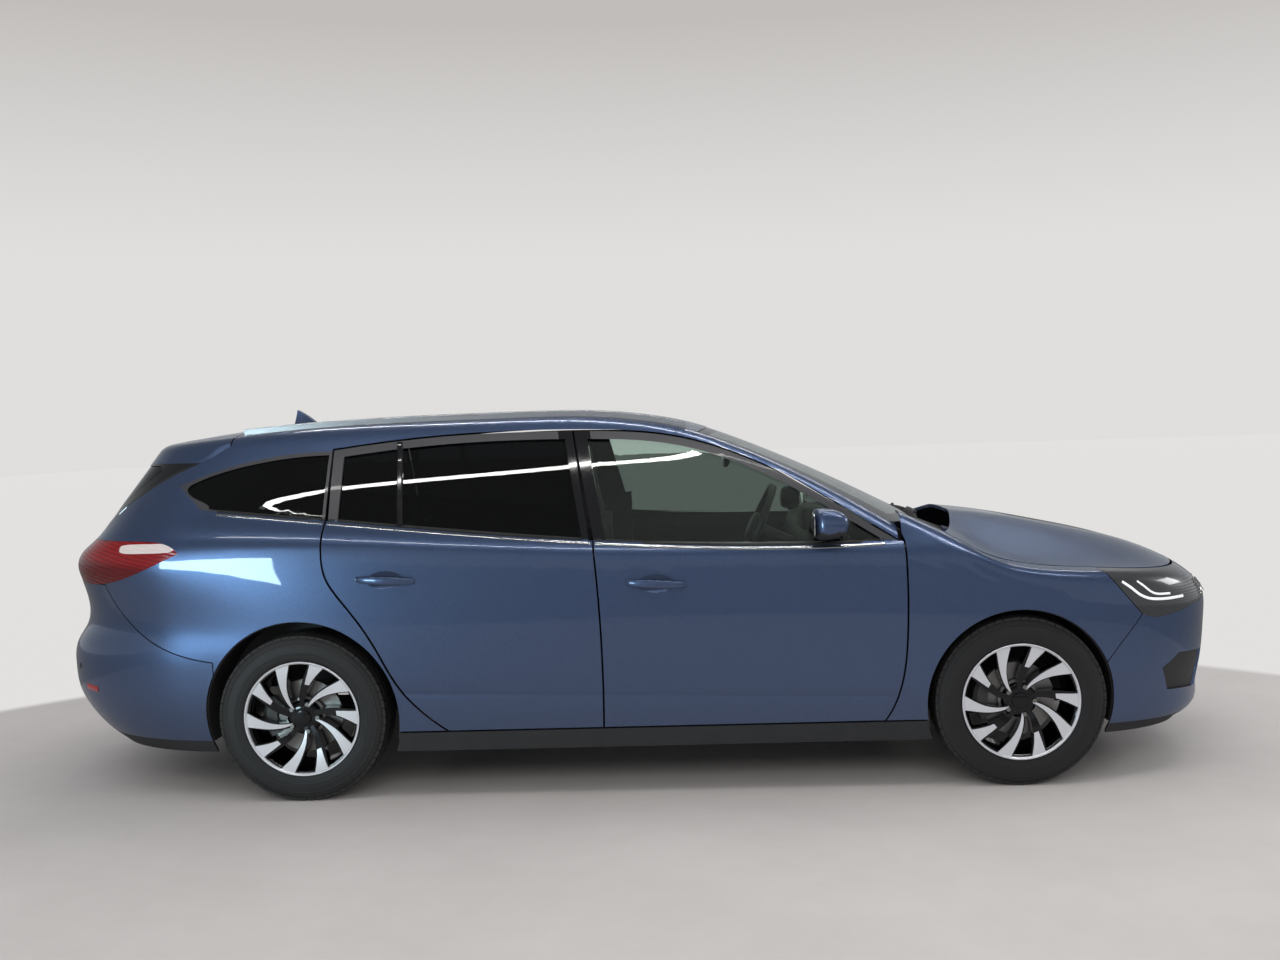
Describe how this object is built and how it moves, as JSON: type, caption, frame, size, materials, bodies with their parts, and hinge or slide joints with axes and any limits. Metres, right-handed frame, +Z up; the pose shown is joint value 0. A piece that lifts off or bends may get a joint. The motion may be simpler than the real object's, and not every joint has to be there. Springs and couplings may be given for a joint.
{
  "type": "estate car",
  "caption": "Compact estate car with hinged doors, bonnet and tailgate, steered front wheels, full cabin and load space.",
  "frame": {"origin": "on the floor, on the symmetry plane, half way along the car", "axes": "+X forward, +Y to the car's left, +Z up"},
  "size_m": [4.6661, 1.98, 1.4979],
  "materials": {
    "blue_paint": "metallic gloss",
    "window_glass": "tinted",
    "lamp_clear": "gloss",
    "lamp_red": "gloss",
    "black_plastic": "grained",
    "satin_rail": "satin",
    "body_steel": "dull",
    "cast_knuckle": "rough",
    "cast_engine": "cast",
    "exhaust_steel": "dull",
    "trim_plastic": "soft",
    "seat_cloth": "woven",
    "tyre_rubber": "matt",
    "rim_alloy": "machined"
  },
  "bodies": {
    "body": {"quarter_panel_right": "blue_paint", "quarter_panel_left": "blue_paint", "cant_rail_right": "blue_paint", "cant_rail_left": "blue_paint", "roof_panel": "blue_paint", "front_wing_right": "blue_paint", "front_wing_left": "blue_paint", "front_bumper": "blue_paint", "rear_bumper": "blue_paint", "antenna": "blue_paint", "windscreen": "window_glass", "quarter_windows": "window_glass", "headlamps": "lamp_clear", "tail_lamps": "lamp_red", "grilles": "black_plastic", "cowl": "black_plastic", "front_liners": "black_plastic", "rear_liners": "black_plastic", "roof_rails": "satin_rail", "floor_pan": "body_steel", "side_frame_right": "body_steel", "side_frame_left": "body_steel", "front_subframe": "body_steel", "rear_axle": "body_steel", "front_struts": "body_steel", "engine": "cast_engine", "exhaust": "exhaust_steel", "dashboard": "trim_plastic", "front_seat_right": "seat_cloth", "front_seat_left": "seat_cloth", "rear_seat": "seat_cloth"},
    "bonnet": {"bonnet": "blue_paint"},
    "tailgate": {"tailgate": "blue_paint", "tailgate_top": "blue_paint", "tailgate_glass": "window_glass"},
    "steering_wheel": {"steering_wheel": "trim_plastic"},
    "front_door_right": {"front_door_right": "blue_paint", "front_door_glass_right": "window_glass", "mirror_right": "blue_paint"},
    "rear_door_right": {"rear_door_right": "blue_paint", "rear_door_glass_right": "window_glass"},
    "knuckle_right": {"knuckle_right": "cast_knuckle"},
    "wheel_front_right": {"tyre_front_right": "tyre_rubber", "rim_front_right": "rim_alloy"},
    "wheel_rear_right": {"tyre_rear_right": "tyre_rubber", "rim_rear_right": "rim_alloy"},
    "front_door_left": {"front_door_left": "blue_paint", "front_door_glass_left": "window_glass", "mirror_left": "blue_paint"},
    "rear_door_left": {"rear_door_left": "blue_paint", "rear_door_glass_left": "window_glass"},
    "knuckle_left": {"knuckle_left": "cast_knuckle"},
    "wheel_front_left": {"tyre_front_left": "tyre_rubber", "rim_front_left": "rim_alloy"},
    "wheel_rear_left": {"tyre_rear_left": "tyre_rubber", "rim_rear_left": "rim_alloy"}
  },
  "joints": [
    {"name": "front_door_right_hinge", "type": "hinge", "parent": "body", "child": "front_door_right", "pos_m": [0.989, -0.897, 0.6375], "axis": [0, 0, 1], "range_deg": [0, 65]},
    {"name": "rear_door_right_hinge", "type": "hinge", "parent": "body", "child": "rear_door_right", "pos_m": [-0.15, -0.897, 0.6375], "axis": [0, 0, 1], "range_deg": [0, 65]},
    {"name": "front_door_left_hinge", "type": "hinge", "parent": "body", "child": "front_door_left", "pos_m": [0.989, 0.897, 0.6375], "axis": [0, 0, -1], "range_deg": [0, 65]},
    {"name": "rear_door_left_hinge", "type": "hinge", "parent": "body", "child": "rear_door_left", "pos_m": [-0.15, 0.897, 0.6375], "axis": [0, 0, -1], "range_deg": [0, 65]},
    {"name": "bonnet_hinge", "type": "hinge", "parent": "body", "child": "bonnet", "pos_m": [1.262, 0, 0.93797], "axis": [0, -1, 0], "range_deg": [0, 50]},
    {"name": "tailgate_hinge", "type": "hinge", "parent": "body", "child": "tailgate", "pos_m": [-1.583, 0, 1.41081], "axis": [0, 1, 0], "range_deg": [0, 80]},
    {"name": "steer_right", "type": "hinge", "parent": "body", "child": "knuckle_right", "pos_m": [1.469, -0.785, 0.32], "axis": [0, 0, 1], "range_deg": [-34, 34]},
    {"name": "wheel_front_right_spin", "type": "hinge", "parent": "knuckle_right", "child": "wheel_front_right", "pos_m": [1.469, -0.785, 0.32], "axis": [0, 1, 0], "continuous": true},
    {"name": "wheel_rear_right_spin", "type": "hinge", "parent": "body", "child": "wheel_rear_right", "pos_m": [-1.231, -0.785, 0.32], "axis": [0, 1, 0], "continuous": true},
    {"name": "steer_left", "type": "hinge", "parent": "body", "child": "knuckle_left", "pos_m": [1.469, 0.785, 0.32], "axis": [0, 0, 1], "range_deg": [-34, 34]},
    {"name": "wheel_front_left_spin", "type": "hinge", "parent": "knuckle_left", "child": "wheel_front_left", "pos_m": [1.469, 0.785, 0.32], "axis": [0, 1, 0], "continuous": true},
    {"name": "wheel_rear_left_spin", "type": "hinge", "parent": "body", "child": "wheel_rear_left", "pos_m": [-1.231, 0.785, 0.32], "axis": [0, 1, 0], "continuous": true},
    {"name": "steering_wheel_turn", "type": "hinge", "parent": "body", "child": "steering_wheel", "pos_m": [0.509, -0.375, 0.96], "axis": [-0.9135, 0, 0.4067], "range_deg": [-480, 480]}
  ],
  "couplings": [
    {"joint": "steer_left", "follows": "steer_right", "ratio": 1},
    {"joint": "steering_wheel_turn", "follows": "steer_right", "ratio": 14}
  ]
}
